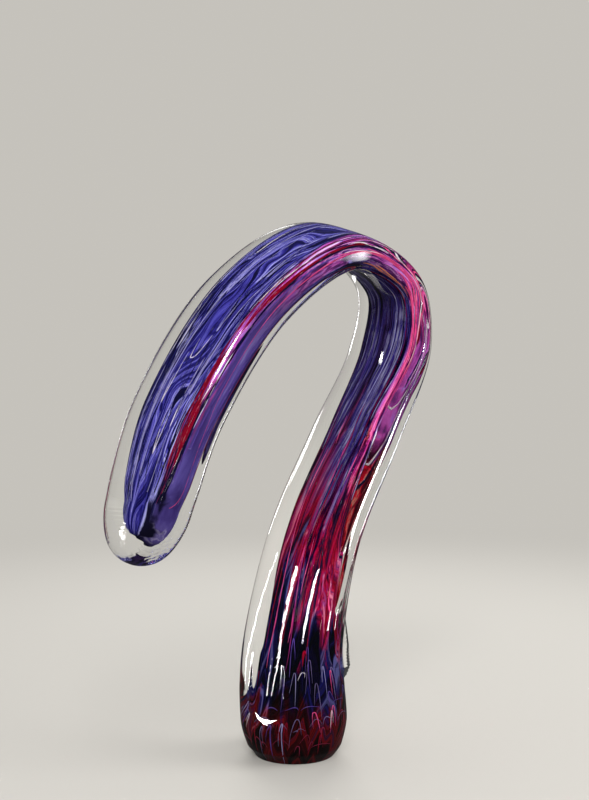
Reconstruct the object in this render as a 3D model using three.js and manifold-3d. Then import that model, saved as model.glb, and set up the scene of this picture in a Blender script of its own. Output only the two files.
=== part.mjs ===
// A hooked glass sculpture: a solid ribbon of clear glass round a coloured core, which rises from a
// bulb-shaped foot, leans out, bends over and hangs down to a rounded tip.
// Millimetres, +Z up. The origin is the middle of the ground underside. The hook lies in the XZ plane,
// its arm reaches towards -X, and the ribbon's broad way runs along Y.
import * as THREE from 'three';
import { mergeVertices } from 'three/addons/utils/BufferGeometryUtils.js';
import Module from 'manifold-3d';

const wasm = await Module();
wasm.setup();

// Where the hook's bends lie.
const SHOULDER_LEAN = 120; // how far the shoulder stands out over the foot, towards +X
const SHOULDER_HEIGHT = 350;
const CREST_RISE = 28; // from the shoulder's middle up to the crest's
const ARM_REACH = 147; // how far the last station stands out over the foot, towards -X
const TIP_HEIGHT = 191; // height of the last station, where the tip starts to round off

// How far the stations between the bends lie from them.
const MID_STEM_SETBACK = 47; // behind the shoulder's lean
const MID_STEM_DROP = 119; // under the shoulder
const HIGH_STEM_DROP = 49;
const HIGH_ARM_DROP = 19;
const HIGH_ARM_SETBACK = 95; // short of the arm's full reach
const MID_ARM_SETBACK = 25;
const MID_ARM_RISE = 59; // over the tip's station
const LOW_ARM_SETBACK = 5;
const LOW_ARM_RISE = 15;

// Stations along the hook, from the ground underside to where the tip starts to round off.
// x, z: middle of the section. halfWidth: across the ribbon. halfThick: through it. turn: degrees that the
// section is turned about the ribbon's length. steps: how many rings the span up to the next station takes.
const MID_STEM = { x: SHOULDER_LEAN - MID_STEM_SETBACK, z: SHOULDER_HEIGHT - MID_STEM_DROP };
const HIGH_STEM = { x: SHOULDER_LEAN, z: SHOULDER_HEIGHT - HIGH_STEM_DROP };
const HIGH_ARM = { x: HIGH_ARM_SETBACK - ARM_REACH, z: SHOULDER_HEIGHT - HIGH_ARM_DROP };
const MID_ARM = { x: MID_ARM_SETBACK - ARM_REACH, z: TIP_HEIGHT + MID_ARM_RISE };
const LOW_ARM = { x: LOW_ARM_SETBACK - ARM_REACH, z: TIP_HEIGHT + LOW_ARM_RISE };
const STATIONS = {
  base: { x: 0, z: 0, halfWidth: 29, halfThick: 29, turn: 0, steps: 2 },
  heel: { x: 0, z: 8, halfWidth: 35, halfThick: 34.5, turn: 0, steps: 3 },
  bulb: { x: -1, z: 26, halfWidth: 39.8, halfThick: 38, turn: 0, steps: 4 },
  collar: { x: -3, z: 50, halfWidth: 40.5, halfThick: 36, turn: 0, steps: 3 },
  neck: { x: -2, z: 81, halfWidth: 39, halfThick: 30, turn: 0, steps: 2 },
  lowStem: { x: 22, z: 156, halfWidth: 39, halfThick: 22, turn: 0, steps: 2 },
  midStem: { ...MID_STEM, halfWidth: 40, halfThick: 19, turn: 0, steps: 3 },
  highStem: { ...HIGH_STEM, halfWidth: 38.5, halfThick: 16.5, turn: 2, steps: 2 },
  shoulder: { x: SHOULDER_LEAN, z: SHOULDER_HEIGHT, halfWidth: 34, halfThick: 13.5, turn: 10, steps: 4 },
  crest: { x: 46, z: SHOULDER_HEIGHT + CREST_RISE, halfWidth: 36, halfThick: 14, turn: 19, steps: 3 },
  highArm: { ...HIGH_ARM, halfWidth: 35.5, halfThick: 17.5, turn: 14, steps: 3 },
  midArm: { ...MID_ARM, halfWidth: 35.5, halfThick: 17.5, turn: 4, steps: 1 },
  lowArm: { ...LOW_ARM, halfWidth: 34, halfThick: 17.5, turn: 0, steps: 1 },
  tip: { x: -ARM_REACH, z: TIP_HEIGHT, halfWidth: 33, halfThick: 17, turn: 0, steps: 0 },
};

// The section's shape and its walls at the same stations. farSquare, nearSquare: 2 is an ellipse and more is
// boxier, on the far and on the near half. farEdge, nearEdge, face: thickness of the clear glass outside the
// coloured core, at the ribbon's two edges and over its faces.
const SHAPES = {
  base: { farSquare: 2, nearSquare: 2, farEdge: 3, nearEdge: 3, face: 3 },
  heel: { farSquare: 2, nearSquare: 2, farEdge: 3, nearEdge: 3, face: 3 },
  bulb: { farSquare: 2, nearSquare: 2, farEdge: 4, nearEdge: 3, face: 3 },
  collar: { farSquare: 2, nearSquare: 2, farEdge: 20, nearEdge: 6, face: 6 },
  neck: { farSquare: 2.2, nearSquare: 2.2, farEdge: 24, nearEdge: 12, face: 11 },
  lowStem: { farSquare: 2.3, nearSquare: 2.3, farEdge: 22, nearEdge: 18, face: 10 },
  midStem: { farSquare: 2.4, nearSquare: 2.4, farEdge: 22, nearEdge: 21, face: 9 },
  highStem: { farSquare: 2.4, nearSquare: 2.6, farEdge: 17, nearEdge: 14, face: 7.5 },
  shoulder: { farSquare: 2.4, nearSquare: 3.2, farEdge: 15, nearEdge: 9, face: 5 },
  crest: { farSquare: 2.4, nearSquare: 3.8, farEdge: 14, nearEdge: 8, face: 5 },
  highArm: { farSquare: 2.4, nearSquare: 3.8, farEdge: 15, nearEdge: 8, face: 7 },
  midArm: { farSquare: 2.4, nearSquare: 3.8, farEdge: 16, nearEdge: 8, face: 7 },
  lowArm: { farSquare: 2.4, nearSquare: 3.8, farEdge: 19, nearEdge: 10, face: 8 },
  tip: { farSquare: 2.4, nearSquare: 3.4, farEdge: 22, nearEdge: 14, face: 9 },
};
const TIP_LENGTH = 38; // how far the casing's rounded end runs past the last station
const CORE_TIP_LENGTH = 18; // the same for the core's rounded end
const END_ANGLES = [18, 38, 58, 76]; // the rings of a rounded end, in degrees of its quarter round
const CLEARANCE = 0.3; // between any two pieces that lie against each other
const OUTER_SIDES = 24; // sides of the casing's section
const CAVITY_OVERRUN = 1; // how far the casing's hollow is cut through below the underside

// Colour canes, half round the core's rim at even angles, each pressed into a groove of its own.
const CANE_RADIUS = 1.4;
const CANE_SIDES = 6;
const LIP_SINK = 0.25; // a groove's lips lie this far under the round of the rim, so a cane stays below it
const FOOT_TOP = 66; // height at which the foot gather ends and the ruby core begins
const COLOUR_CHANGE = 215; // height on the stem at which the ruby core ends and the violet core begins

// Threads wound once round the foot and pulled up into loops.
const THREAD_RADIUS = 1;
const THREAD_SINK = 1.3; // how far the thread's outside lies under the foot's rim, measured level
const THREAD_SIDES = 4;
const GROOVE_OVERSHOOT = 3; // how far a thread's groove is cut past the thread, so that it opens at the rim
const LOOPS_PER_THREAD = 7;
const STEPS_PER_LOOP = 5;
const LOOP_HEIGHT = 9;
const LOOP_FULLNESS = 0.7; // 1 is a plain wave, less is a rounder loop with a narrower foot
const THREAD_HEIGHTS = { feather_thread_lower: 12, feather_thread_middle: 27, feather_thread_upper: 42 };

// Clear lug on the back of the neck: a drop with a rounded lower end.
const LUG_MIDDLE_HEIGHT = 84;
const LUG_HALF_LENGTH = 27;
const LUG_HALF_WIDTH = 9;
const LUG_DEPTH = 9; // how far it stands out of the casing
const LUG_BEARING = -35; // degrees from the back, towards the near edge
const LUG_SIDES = 20;
const LUG_RINGS = 14;

const GLASS_ROUGHNESS = 0.03;
const COLOUR_ROUGHNESS = 0.08;
const COLOURS = {
  clear: 0xf2f6f4,
  foot: 0x4a0a12,
  ruby: 0x8e1030,
  violet: 0x322a78,
  navy: 0x1b1440,
  indigo: 0x3b37a0,
  lavender: 0xaaa5dc,
  purple: 0x5a3c90,
  magenta: 0x9a2f70,
  pink: 0xf0609a,
  crimson: 0xa01236,
};
// Canes by their place on the rim, in degrees: 0 is the far edge, 90 the outer face, 180 the near edge
// and 270 the inner face, with the colour in the stem and the colour in the bend and arm.
const CANES = [
  { place: 'far_edge', angle: 0, lower: 'navy', upper: 'indigo' },
  { place: 'outer_far', angle: 36, lower: 'crimson', upper: 'indigo' },
  { place: 'outer_mid_far', angle: 72, lower: 'crimson', upper: 'lavender' },
  { place: 'outer_mid_near', angle: 108, lower: 'purple', upper: 'indigo' },
  { place: 'outer_near', angle: 144, lower: 'magenta', upper: 'magenta' },
  { place: 'near_edge', angle: 180, lower: 'crimson', upper: 'pink' },
  { place: 'inner_near', angle: 216, lower: 'navy', upper: 'crimson' },
  { place: 'inner_mid_near', angle: 252, lower: 'magenta', upper: 'lavender' },
  { place: 'inner_mid_far', angle: 288, lower: 'pink', upper: 'purple' },
  { place: 'inner_far', angle: 324, lower: 'navy', upper: 'navy' },
];
const THREAD_COLOURS = {
  feather_thread_lower: 'pink',
  feather_thread_middle: 'lavender',
  feather_thread_upper: 'purple',
};

const rows = Object.entries(STATIONS).map(([name, station]) => ({ ...station, ...SHAPES[name] }));
const LAST = rows.length - 1;
const curveOf = (pick) => new THREE.CatmullRomCurve3(rows.map((row) => new THREE.Vector3(...pick(row))));
const spine = curveOf((row) => [row.x, 0, row.z]);
const outerSizes = curveOf((row) => [row.halfWidth, row.halfThick, row.turn]);
const squares = curveOf((row) => [row.farSquare, row.nearSquare, 0]);
const walls = curveOf((row) => [row.farEdge, row.nearEdge, row.face]);
const UP = new THREE.Vector3(0, 0, 1);
const ACROSS = new THREE.Vector3(0, 1, 0);

// The section at t, which runs from 0 at the underside to 1 at the last station. The underside is level.
// offset: how far the section's own middle lies from the spine, along the ribbon's width.
function sectionAt(t) {
  const centre = spine.getPoint(t);
  const along = t === 0 ? UP.clone() : spine.getTangent(t);
  const [halfWidth, halfThick, turn] = outerSizes.getPoint(t).toArray();
  const [farSquare, nearSquare] = squares.getPoint(t).toArray();
  const [farEdge, nearEdge, face] = walls.getPoint(t).toArray();
  const across = ACROSS.clone().addScaledVector(along, -along.dot(ACROSS)).normalize();
  const outward = new THREE.Vector3().crossVectors(across, along);
  const angle = THREE.MathUtils.degToRad(turn);
  across.applyAxisAngle(along, -angle);
  outward.applyAxisAngle(along, -angle);
  const frame = { t, centre, along, across, outward, offset: 0 };
  return { ...frame, halfWidth, halfThick, farSquare, nearSquare, farEdge, nearEdge, face };
}

// The core's section inside a section of the glass, or the cavity's, which lies a clearance outside it.
function coreOf(section, extra = 0) {
  const { farEdge, nearEdge, face } = section;
  const halfWidth = section.halfWidth - (farEdge + nearEdge) / 2 + extra;
  const halfThick = section.halfThick - face + extra;
  return { ...section, offset: (nearEdge - farEdge) / 2, halfWidth, halfThick };
}

// A section with its outside moved out by a distance.
function grown(section, extra) {
  return { ...section, halfWidth: section.halfWidth + extra, halfThick: section.halfThick + extra };
}

// A point on the section's rim, in the section's own two directions.
function rimPoint(section, degrees) {
  const angle = THREE.MathUtils.degToRad(degrees);
  const power = 2 / (Math.cos(angle) > 0 ? section.farSquare : section.nearSquare);
  const reach = (value) => Math.sign(value) * Math.abs(value) ** power;
  const x = section.halfWidth * reach(Math.cos(angle));
  const y = section.halfThick * reach(Math.sin(angle));
  return new THREE.Vector2(x, y);
}

function placed(section, flat) {
  const point = section.centre.clone().addScaledVector(section.across, section.offset + flat.x);
  return point.addScaledVector(section.outward, flat.y);
}

// The t at which the stem first reaches a height, found by halving the span that holds it.
const HALVINGS = 40;
function placeAtHeight(height) {
  let low = 0;
  let high = Object.keys(STATIONS).indexOf('shoulder') / LAST;
  for (let round = 0; round < HALVINGS; round += 1) {
    const middle = (low + high) / 2;
    if (spine.getPoint(middle).z < height) low = middle;
    else high = middle;
  }
  return low;
}

const footTop = placeAtHeight(FOOT_TOP);
const colourChange = placeAtHeight(COLOUR_CHANGE);
const jointGap = (2 * CLEARANCE) / spine.getLength();

// The places along the hook that carry a ring, from t = from to t = to. All pieces share them, and the
// places where two pieces meet end to end take the place of any even ring that lies close by.
const JOINTS = [footTop, colourChange];
const JOINT_MARGIN = 0.25 / LAST;
function ringPlaces(from = 0, to = 1) {
  const even = rows.slice(0, LAST).flatMap((row, index) => (
    Array.from({ length: row.steps }, (unused, step) => (index + step / row.steps) / LAST)
  ));
  const apart = even.filter((t) => JOINTS.every((joint) => Math.abs(t - joint) > JOINT_MARGIN));
  const between = [...apart, ...JOINTS].filter((t) => t > from && t < to).sort((a, b) => a - b);
  return [from, ...between, to];
}

// The triangles between each ring of points and the next.
function sideTriangles(rings, sides, closed) {
  const triangles = [];
  const spans = closed ? rings : rings - 1;
  for (let span = 0; span < spans; span += 1) {
    const low = span * sides;
    const high = ((span + 1) % rings) * sides;
    for (let side = 0; side < sides; side += 1) {
      const next = (side + 1) % sides;
      triangles.push(low + side, high + side, low + next);
      triangles.push(low + next, high + side, high + next);
    }
  }
  return triangles;
}

function indexedGeometry(points, triangles) {
  const geometry = new THREE.BufferGeometry();
  const position = new THREE.Float32BufferAttribute(points.flatMap((point) => point.toArray()), 3);
  geometry.setAttribute('position', position);
  geometry.setIndex(triangles);
  return geometry;
}

function loopFromRings(rings) {
  return indexedGeometry(rings.flat(), sideTriangles(rings.length, rings[0].length, true));
}

function middleOf(ring) {
  return ring.reduce((sum, point) => sum.add(point), new THREE.Vector3()).divideScalar(ring.length);
}

// A closed body from rings of points, with a flat lid or a single closing point at each end.
function bodyFromRings(rings, lastPoint = middleOf(rings.at(-1))) {
  const sides = rings[0].length;
  const points = [...rings.flat(), middleOf(rings[0]), lastPoint];
  const triangles = sideTriangles(rings.length, sides, false);
  const top = (rings.length - 1) * sides;
  for (let side = 0; side < sides; side += 1) {
    const next = (side + 1) % sides;
    triangles.push(points.length - 2, side, next);
    triangles.push(points.length - 1, top + next, top + side);
  }
  return indexedGeometry(points, triangles);
}

// The rings of a rounded end that runs past the last station, and the point that closes it.
function roundedEnd(section, lastRing, length) {
  const middle = placed(section, new THREE.Vector2());
  const rings = END_ANGLES.map((degrees) => {
    const angle = THREE.MathUtils.degToRad(degrees);
    const shifted = middle.clone().addScaledVector(section.along, length * Math.sin(angle));
    return lastRing.map((point) => point.clone().sub(middle).multiplyScalar(Math.cos(angle)).add(shifted));
  });
  return { rings, point: middle.addScaledVector(section.along, length) };
}

// The rim of the core, point by point. Each cane has two lips where its groove opens and, if the grooves
// are cut, two bottom corners between them. One plain point lies between each cane and the next.
const CANE_GAP = 360 / CANES.length;
const GROOVE_HALF_WIDTH = CANE_RADIUS + CLEARANCE;
const CANE_DEPTH = CANE_RADIUS * Math.sqrt(3);
const GROOVE_DEPTH = CANE_DEPTH + CLEARANCE;
function grooveFrame(section, degrees) {
  const middle = rimPoint(section, degrees);
  const tangent = rimPoint(section, degrees + 1).sub(rimPoint(section, degrees - 1)).normalize();
  const inward = new THREE.Vector2(-tangent.y, tangent.x);
  return { middle, tangent, inward };
}

function lipPoint({ middle, tangent, inward }, side, depth) {
  return middle.clone().addScaledVector(tangent, side * GROOVE_HALF_WIDTH).addScaledVector(inward, depth);
}

// Under the foot's top there are no canes, and the same number of points lies evenly round the rim.
function plainRim(section) {
  const shifts = [-CANE_GAP / 6, CANE_GAP / 6, CANE_GAP / 2];
  return CANES.flatMap(({ angle }) => shifts.map((shift) => rimPoint(section, angle + shift)));
}

function groovedRim(section, cut) {
  const bottom = LIP_SINK + GROOVE_DEPTH;
  return CANES.flatMap(({ angle }) => {
    const frame = grooveFrame(section, angle);
    const floor = cut ? [lipPoint(frame, -1, bottom), lipPoint(frame, 1, bottom)] : [];
    const plain = rimPoint(section, angle + CANE_GAP / 2);
    return [lipPoint(frame, -1, LIP_SINK), ...floor, lipPoint(frame, 1, LIP_SINK), plain];
  });
}

function coreRing(section, cut) {
  const rim = section.t < footTop ? plainRim(section) : groovedRim(section, cut);
  return rim.map((flat) => placed(section, flat));
}

function caneRing(section, degrees) {
  const frame = grooveFrame(section, degrees);
  const centre = frame.middle.clone().addScaledVector(frame.inward, LIP_SINK + CANE_DEPTH / 2);
  return Array.from({ length: CANE_SIDES }, (unused, side) => {
    const angle = (2 * Math.PI * side) / CANE_SIDES;
    const flat = centre.clone();
    flat.addScaledVector(frame.tangent, CANE_RADIUS * Math.cos(angle));
    flat.addScaledVector(frame.inward, CANE_RADIUS * Math.sin(angle));
    return placed(section, flat);
  });
}

// Solids for joining and cutting, and back.
const WELD = 1e-4; // points closer than this are one
function solidOf(geometry) {
  const bare = geometry.clone();
  bare.deleteAttribute('normal');
  bare.deleteAttribute('uv');
  const merged = mergeVertices(bare, WELD);
  const vertProperties = new Float32Array(merged.attributes.position.array);
  const triVerts = new Uint32Array(merged.index.array);
  return new wasm.Manifold(new wasm.Mesh({ numProp: 3, vertProperties, triVerts }));
}

function geometryOf(solid) {
  const mesh = solid.getMesh();
  const geometry = new THREE.BufferGeometry();
  geometry.setAttribute('position', new THREE.BufferAttribute(mesh.vertProperties, 3));
  geometry.setIndex(new THREE.BufferAttribute(mesh.triVerts, 1));
  return geometry;
}

function outerRing(section) {
  const angles = Array.from({ length: OUTER_SIDES }, (unused, side) => (360 * side) / OUTER_SIDES);
  return angles.map((degrees) => placed(section, rimPoint(section, degrees)));
}

// The casing's outside, grown by extra for a piece that seats against it.
function outsideOf(extra = 0) {
  const sections = ringPlaces().map((t) => grown(sectionAt(t), extra));
  const rings = sections.map(outerRing);
  const end = roundedEnd(sections.at(-1), rings.at(-1), TIP_LENGTH + extra);
  return bodyFromRings([...rings, ...end.rings], end.point);
}

function casing() {
  const sections = ringPlaces().map((t) => coreOf(sectionAt(t), CLEARANCE));
  const rings = sections.map((section) => coreRing(section, false));
  const end = roundedEnd(sections.at(-1), rings.at(-1), CORE_TIP_LENGTH + CLEARANCE);
  const below = rings[0].map((point) => point.clone().setZ(-CAVITY_OVERRUN));
  const cavity = bodyFromRings([below, ...rings, ...end.rings], end.point);
  return geometryOf(solidOf(outsideOf()).subtract(solidOf(cavity)));
}

// A thread runs round the foot gather just under its rim, and rises in loops with narrow feet between.
const THREAD_STEPS = LOOPS_PER_THREAD * STEPS_PER_LOOP;
function threadPoint(height, depth, step) {
  const turn = step / THREAD_STEPS;
  const rise = Math.abs(Math.sin(Math.PI * LOOPS_PER_THREAD * turn)) ** LOOP_FULLNESS;
  const z = height + LOOP_HEIGHT * rise;
  const section = coreOf(sectionAt(placeAtHeight(z)), -depth);
  return placed(section, rimPoint(section, 360 * turn)).setZ(z);
}

// overshoot: how much farther the corner that faces out stands than the other three.
function threadTube(height, radius, depth, overshoot = 0) {
  const rings = Array.from({ length: THREAD_STEPS }, (unused, step) => {
    const centre = threadPoint(height, depth, step);
    const before = threadPoint(height, depth, step - 1);
    const along = threadPoint(height, depth, step + 1).sub(before).normalize();
    const outward = new THREE.Vector3(centre.x, centre.y, 0).normalize();
    const side = new THREE.Vector3().crossVectors(outward, along).normalize();
    return Array.from({ length: THREAD_SIDES }, (none, corner) => {
      const angle = (2 * Math.PI * corner) / THREAD_SIDES;
      const reach = corner === 0 ? radius + overshoot : radius;
      const point = centre.clone().addScaledVector(outward, reach * Math.cos(angle));
      return point.addScaledVector(side, reach * Math.sin(angle));
    });
  });
  return loopFromRings(rings);
}

// The thread's own tube with a clearance all round, open at the foot's rim all the way.
const GROOVE_CLEARANCE = (1.5 * CLEARANCE) / Math.cos(Math.PI / THREAD_SIDES);
function threadGroove(height) {
  const depth = THREAD_RADIUS + THREAD_SINK;
  return threadTube(height, THREAD_RADIUS + GROOVE_CLEARANCE, depth, GROOVE_OVERSHOOT);
}

function footGather() {
  const rings = ringPlaces(0, footTop).map((t) => coreRing(coreOf(sectionAt(t)), false));
  let solid = solidOf(bodyFromRings(rings));
  Object.values(THREAD_HEIGHTS).forEach((height) => {
    solid = solid.subtract(solidOf(threadGroove(height)));
  });
  return geometryOf(solid);
}

function rubyCore() {
  const sections = ringPlaces(footTop + jointGap, colourChange).map((t) => coreOf(sectionAt(t)));
  return bodyFromRings(sections.map((section) => coreRing(section, true)));
}

function violetCore() {
  const sections = ringPlaces(colourChange + jointGap, 1).map((t) => coreOf(sectionAt(t)));
  const rings = sections.map((section) => coreRing(section, true));
  const end = roundedEnd(sections.at(-1), rings.at(-1), CORE_TIP_LENGTH);
  return bodyFromRings([...rings, ...end.rings], end.point);
}

function cane(angle, from, to) {
  return bodyFromRings(ringPlaces(from, to).map((t) => caneRing(coreOf(sectionAt(t)), angle)));
}

// The lug is a long drop, cut where it lies against the casing.
function clearLug() {
  const section = sectionAt(placeAtHeight(LUG_MIDDLE_HEIGHT));
  const middle = placed(section, rimPoint(section, 90 - LUG_BEARING));
  const drop = new THREE.SphereGeometry(1, LUG_SIDES, LUG_RINGS);
  drop.scale(LUG_DEPTH, LUG_HALF_WIDTH, LUG_HALF_LENGTH);
  drop.rotateZ(THREE.MathUtils.degToRad(LUG_BEARING));
  drop.translate(middle.x, middle.y, middle.z);
  return geometryOf(solidOf(drop).subtract(solidOf(outsideOf(CLEARANCE))));
}

const sculpture = new THREE.Group();
function addPiece(name, geometry, colour, roughness = COLOUR_ROUGHNESS) {
  const material = new THREE.MeshStandardMaterial({ color: COLOURS[colour], roughness, metalness: 0 });
  const mesh = new THREE.Mesh(geometry, material);
  mesh.name = name;
  sculpture.add(mesh);
}

addPiece('clear_casing', casing(), 'clear', GLASS_ROUGHNESS);
addPiece('foot_gather', footGather(), 'foot');
addPiece('ruby_core', rubyCore(), 'ruby');
addPiece('violet_core', violetCore(), 'violet');
CANES.forEach(({ place, angle, lower, upper }) => {
  addPiece(`lower_cane_${place}`, cane(angle, footTop + jointGap, colourChange), lower);
  addPiece(`upper_cane_${place}`, cane(angle, colourChange + jointGap, 1), upper);
});
Object.entries(THREAD_HEIGHTS).forEach(([name, height]) => {
  const tube = threadTube(height, THREAD_RADIUS, THREAD_RADIUS + THREAD_SINK);
  addPiece(name, tube, THREAD_COLOURS[name]);
});
addPiece('clear_lug', clearLug(), 'clear', GLASS_ROUGHNESS);

export default sculpture;
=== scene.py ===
"""A hooked glass sculpture: a ribbon of clear glass round a coloured core, bent over and standing on a foot.

Metres, +Z up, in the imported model's own frame. The hook lies in the XZ plane and the ribbon's broad way runs
along Y. A place on the glass is given by how far it lies along the hook (0 at the underside, 1 where the tip
starts to round off, 2 at the very end of the tip) and by its bearing round the section in degrees (0 is the
far edge, 90 the outer face, 180 the near edge and 270 the inner face).
"""
import math

import bpy
import numpy as np
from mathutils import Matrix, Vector

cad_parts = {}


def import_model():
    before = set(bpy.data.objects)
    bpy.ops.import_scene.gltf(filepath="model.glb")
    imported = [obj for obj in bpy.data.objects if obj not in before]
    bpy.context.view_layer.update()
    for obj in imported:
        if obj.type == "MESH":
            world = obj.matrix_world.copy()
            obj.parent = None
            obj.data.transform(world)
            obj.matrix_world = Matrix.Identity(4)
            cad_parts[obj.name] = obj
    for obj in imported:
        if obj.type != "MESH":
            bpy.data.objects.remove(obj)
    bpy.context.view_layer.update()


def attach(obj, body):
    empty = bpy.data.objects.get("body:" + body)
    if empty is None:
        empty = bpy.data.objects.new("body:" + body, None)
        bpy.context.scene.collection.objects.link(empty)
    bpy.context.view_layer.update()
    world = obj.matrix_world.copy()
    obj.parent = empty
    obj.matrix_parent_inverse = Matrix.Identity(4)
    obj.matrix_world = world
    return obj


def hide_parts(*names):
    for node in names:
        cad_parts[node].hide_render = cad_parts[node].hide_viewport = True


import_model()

# Sizes of the hook, section by section.
# x, z: the middle of the section. width, thick: half its size across the ribbon and through it. far_square,
# near_square: 2 is an ellipse and more is boxier, on the far and the near half. far_edge, near_edge, face:
# how thick the clear glass is outside the core. turn: degrees by which the section is turned about the hook.
COLUMNS = "x z width thick far_square near_square far_edge near_edge face turn".split()
STATIONS = {
    "base": (0, 0, 0.029, 0.029, 2, 2, 0.003, 0.003, 0.003, 0),
    "heel": (0, 0.008, 0.035, 0.0345, 2, 2, 0.003, 0.003, 0.003, 0),
    "bulb": (-0.001, 0.026, 0.0398, 0.038, 2, 2, 0.004, 0.003, 0.003, 0),
    "collar": (-0.003, 0.050, 0.0405, 0.036, 2, 2, 0.020, 0.006, 0.006, 0),
    "neck": (-0.002, 0.081, 0.039, 0.030, 2.2, 2.2, 0.024, 0.012, 0.011, 0),
    "low_stem": (0.022, 0.156, 0.039, 0.022, 2.3, 2.3, 0.022, 0.018, 0.010, 0),
    "mid_stem": (0.073, 0.231, 0.040, 0.019, 2.4, 2.4, 0.022, 0.021, 0.009, 0),
    "high_stem": (0.120, 0.301, 0.0385, 0.0165, 2.4, 2.6, 0.017, 0.014, 0.0075, 2),
    "shoulder": (0.120, 0.350, 0.034, 0.0135, 2.4, 3.2, 0.015, 0.009, 0.005, 10),
    "crest": (0.046, 0.378, 0.036, 0.014, 2.4, 3.8, 0.014, 0.008, 0.005, 19),
    "high_arm": (-0.052, 0.331, 0.0355, 0.0175, 2.4, 3.8, 0.015, 0.008, 0.007, 14),
    "mid_arm": (-0.122, 0.250, 0.0355, 0.0175, 2.4, 3.8, 0.016, 0.008, 0.007, 4),
    "low_arm": (-0.142, 0.206, 0.034, 0.0175, 2.4, 3.8, 0.019, 0.010, 0.008, 0),
    "tip": (-0.147, 0.191, 0.033, 0.017, 2.4, 3.4, 0.022, 0.014, 0.009, 0),
}
TIP_LENGTH = 0.038
CORE_TIP_LENGTH = 0.020
# How the ends round off, across the ribbon and through it: powers of the way along, and of what is left.
GLASS_TIP = (1.75, 0.63), (7.0, 0.50)
CORE_TIP = (1.9, 0.58), (3.0, 0.50)
FOOT_TOP = 0.066
COLOUR_CHANGE = 0.215
GLASS_SIDES = 192
CORE_SIDES = 96

# The outer glass's relief. All of it lies inside the plain outline.
FLUTES = 14
FLUTE_RIDGE = 282.0  # bearing of one of the ridges between the flutes
FLUTE_DEPTH = 0.0006
FLUTE_STOP = (270.0, 285.0)  # bearings between which the flutes give way to the smooth far edge
FLUTE_SPAN = (0.20, 0.25, 0.345, 0.41)  # places where the flutes begin, are full, begin to fade and are gone
TONGUE_BEARING = 261.0  # middle of the raised U on the foot
TONGUE_HALF = 0.0125
TONGUE_TURN = 0.0455  # how far along the hook its legs begin to bend in
TONGUE_END = (0.060, 0.085)
TONGUE_DEPTH = 0.0013
TONGUE_RIDGE = 0.0027
TONGUE_REACH = 0.012
FOOT_RADIUS = 0.034
TIP_LINE_DEPTH = 0.00004
TIP_LINE_PITCH = 0.0028
TIP_LINE_SPAN = (0.96, 1.10)

rows = np.array(list(STATIONS.values()), float)
MM = 1000.0  # the curves are worked out in millimetres, because their knots depend on the unit
SHORTEST_KNOT = 1e-4  # so that two like stations don't divide by zero


def through(points, places):
    """Centripetal Catmull-Rom curve through rows of values, at places from 0 to 1."""
    scaled = np.clip(np.asarray(places, float), 0, 1) * (len(points) - 1)
    index = np.minimum(np.floor(scaled).astype(int), len(points) - 2)
    share = (scaled - index)[..., None]
    padded = np.vstack([2 * points[0] - points[1], points, 2 * points[-1] - points[-2]])
    before, start, end, after = (padded[index + shift] for shift in range(4))

    def knot(a, b):
        return np.maximum(np.sum((b - a) ** 2, axis=-1, keepdims=True) ** 0.25, SHORTEST_KNOT)

    first, middle, last = knot(before, start), knot(start, end), knot(end, after)
    leave = ((start - before) / first - (end - before) / (first + middle) + (end - start) / middle) * middle
    arrive = ((end - start) / middle - (after - start) / (middle + last) + (after - end) / last) * middle
    cubic = 2 * start - 2 * end + leave + arrive
    square = -3 * start + 3 * end - 2 * leave - arrive
    return start + leave * share + square * share**2 + cubic * share**3


def picked(*names):
    """Some of the stations' columns, with lengths in millimetres."""
    pure = ("far_square", "near_square", "turn")
    columns = []
    for name in names:
        column = np.zeros(len(rows)) if name == "none" else rows[:, COLUMNS.index(name)]
        columns.append(column if name in pure else column * MM)
    return np.column_stack(columns)


spine_rows = picked("x", "none", "z")
size_rows = picked("width", "thick", "turn")
square_rows = picked("far_square", "near_square", "none")
wall_rows = picked("far_edge", "near_edge", "face")


def spine(places):
    return through(spine_rows, places) / MM


def lengths_along(points):
    """How far each point of a path is from its start."""
    return np.concatenate([[0], np.cumsum(np.linalg.norm(np.diff(points, axis=0), axis=1))])


def unit(vectors):
    return vectors / np.linalg.norm(vectors, axis=-1, keepdims=True)


ARC_STEPS = np.linspace(0, 1, 2001)
ARC = lengths_along(spine(ARC_STEPS))


def arc_length(places):
    return np.interp(places, ARC_STEPS, ARC)


def place_at_length(length):
    return np.interp(length, ARC, ARC_STEPS)


def place_at_height(height):
    """The place on the stem, going up, where the spine first reaches a height."""
    heights = spine(ARC_STEPS)[:, 2]
    return float(ARC_STEPS[np.argmax(heights >= height)])


foot_top = place_at_height(FOOT_TOP)
colour_change = place_at_height(COLOUR_CHANGE)


def sections(places):
    """The middle of the hook's section at each place, and its three directions."""
    places = np.asarray(places, float)
    step = 1e-4
    ahead, behind = spine(np.minimum(places + step, 1)), spine(np.maximum(places - step, 0))
    along = np.where((places <= 0)[..., None], [0.0, 0.0, 1.0], unit(ahead - behind))
    wide = unit(np.array([0.0, 1.0, 0.0]) - along * along[..., 1:2])
    outward = np.cross(wide, along)
    angle = np.radians(through(size_rows, places)[..., 2:3])
    across = wide * np.cos(angle) + outward * np.sin(angle)
    outward = outward * np.cos(angle) - wide * np.sin(angle)
    return spine(places), along, across, outward


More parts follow.
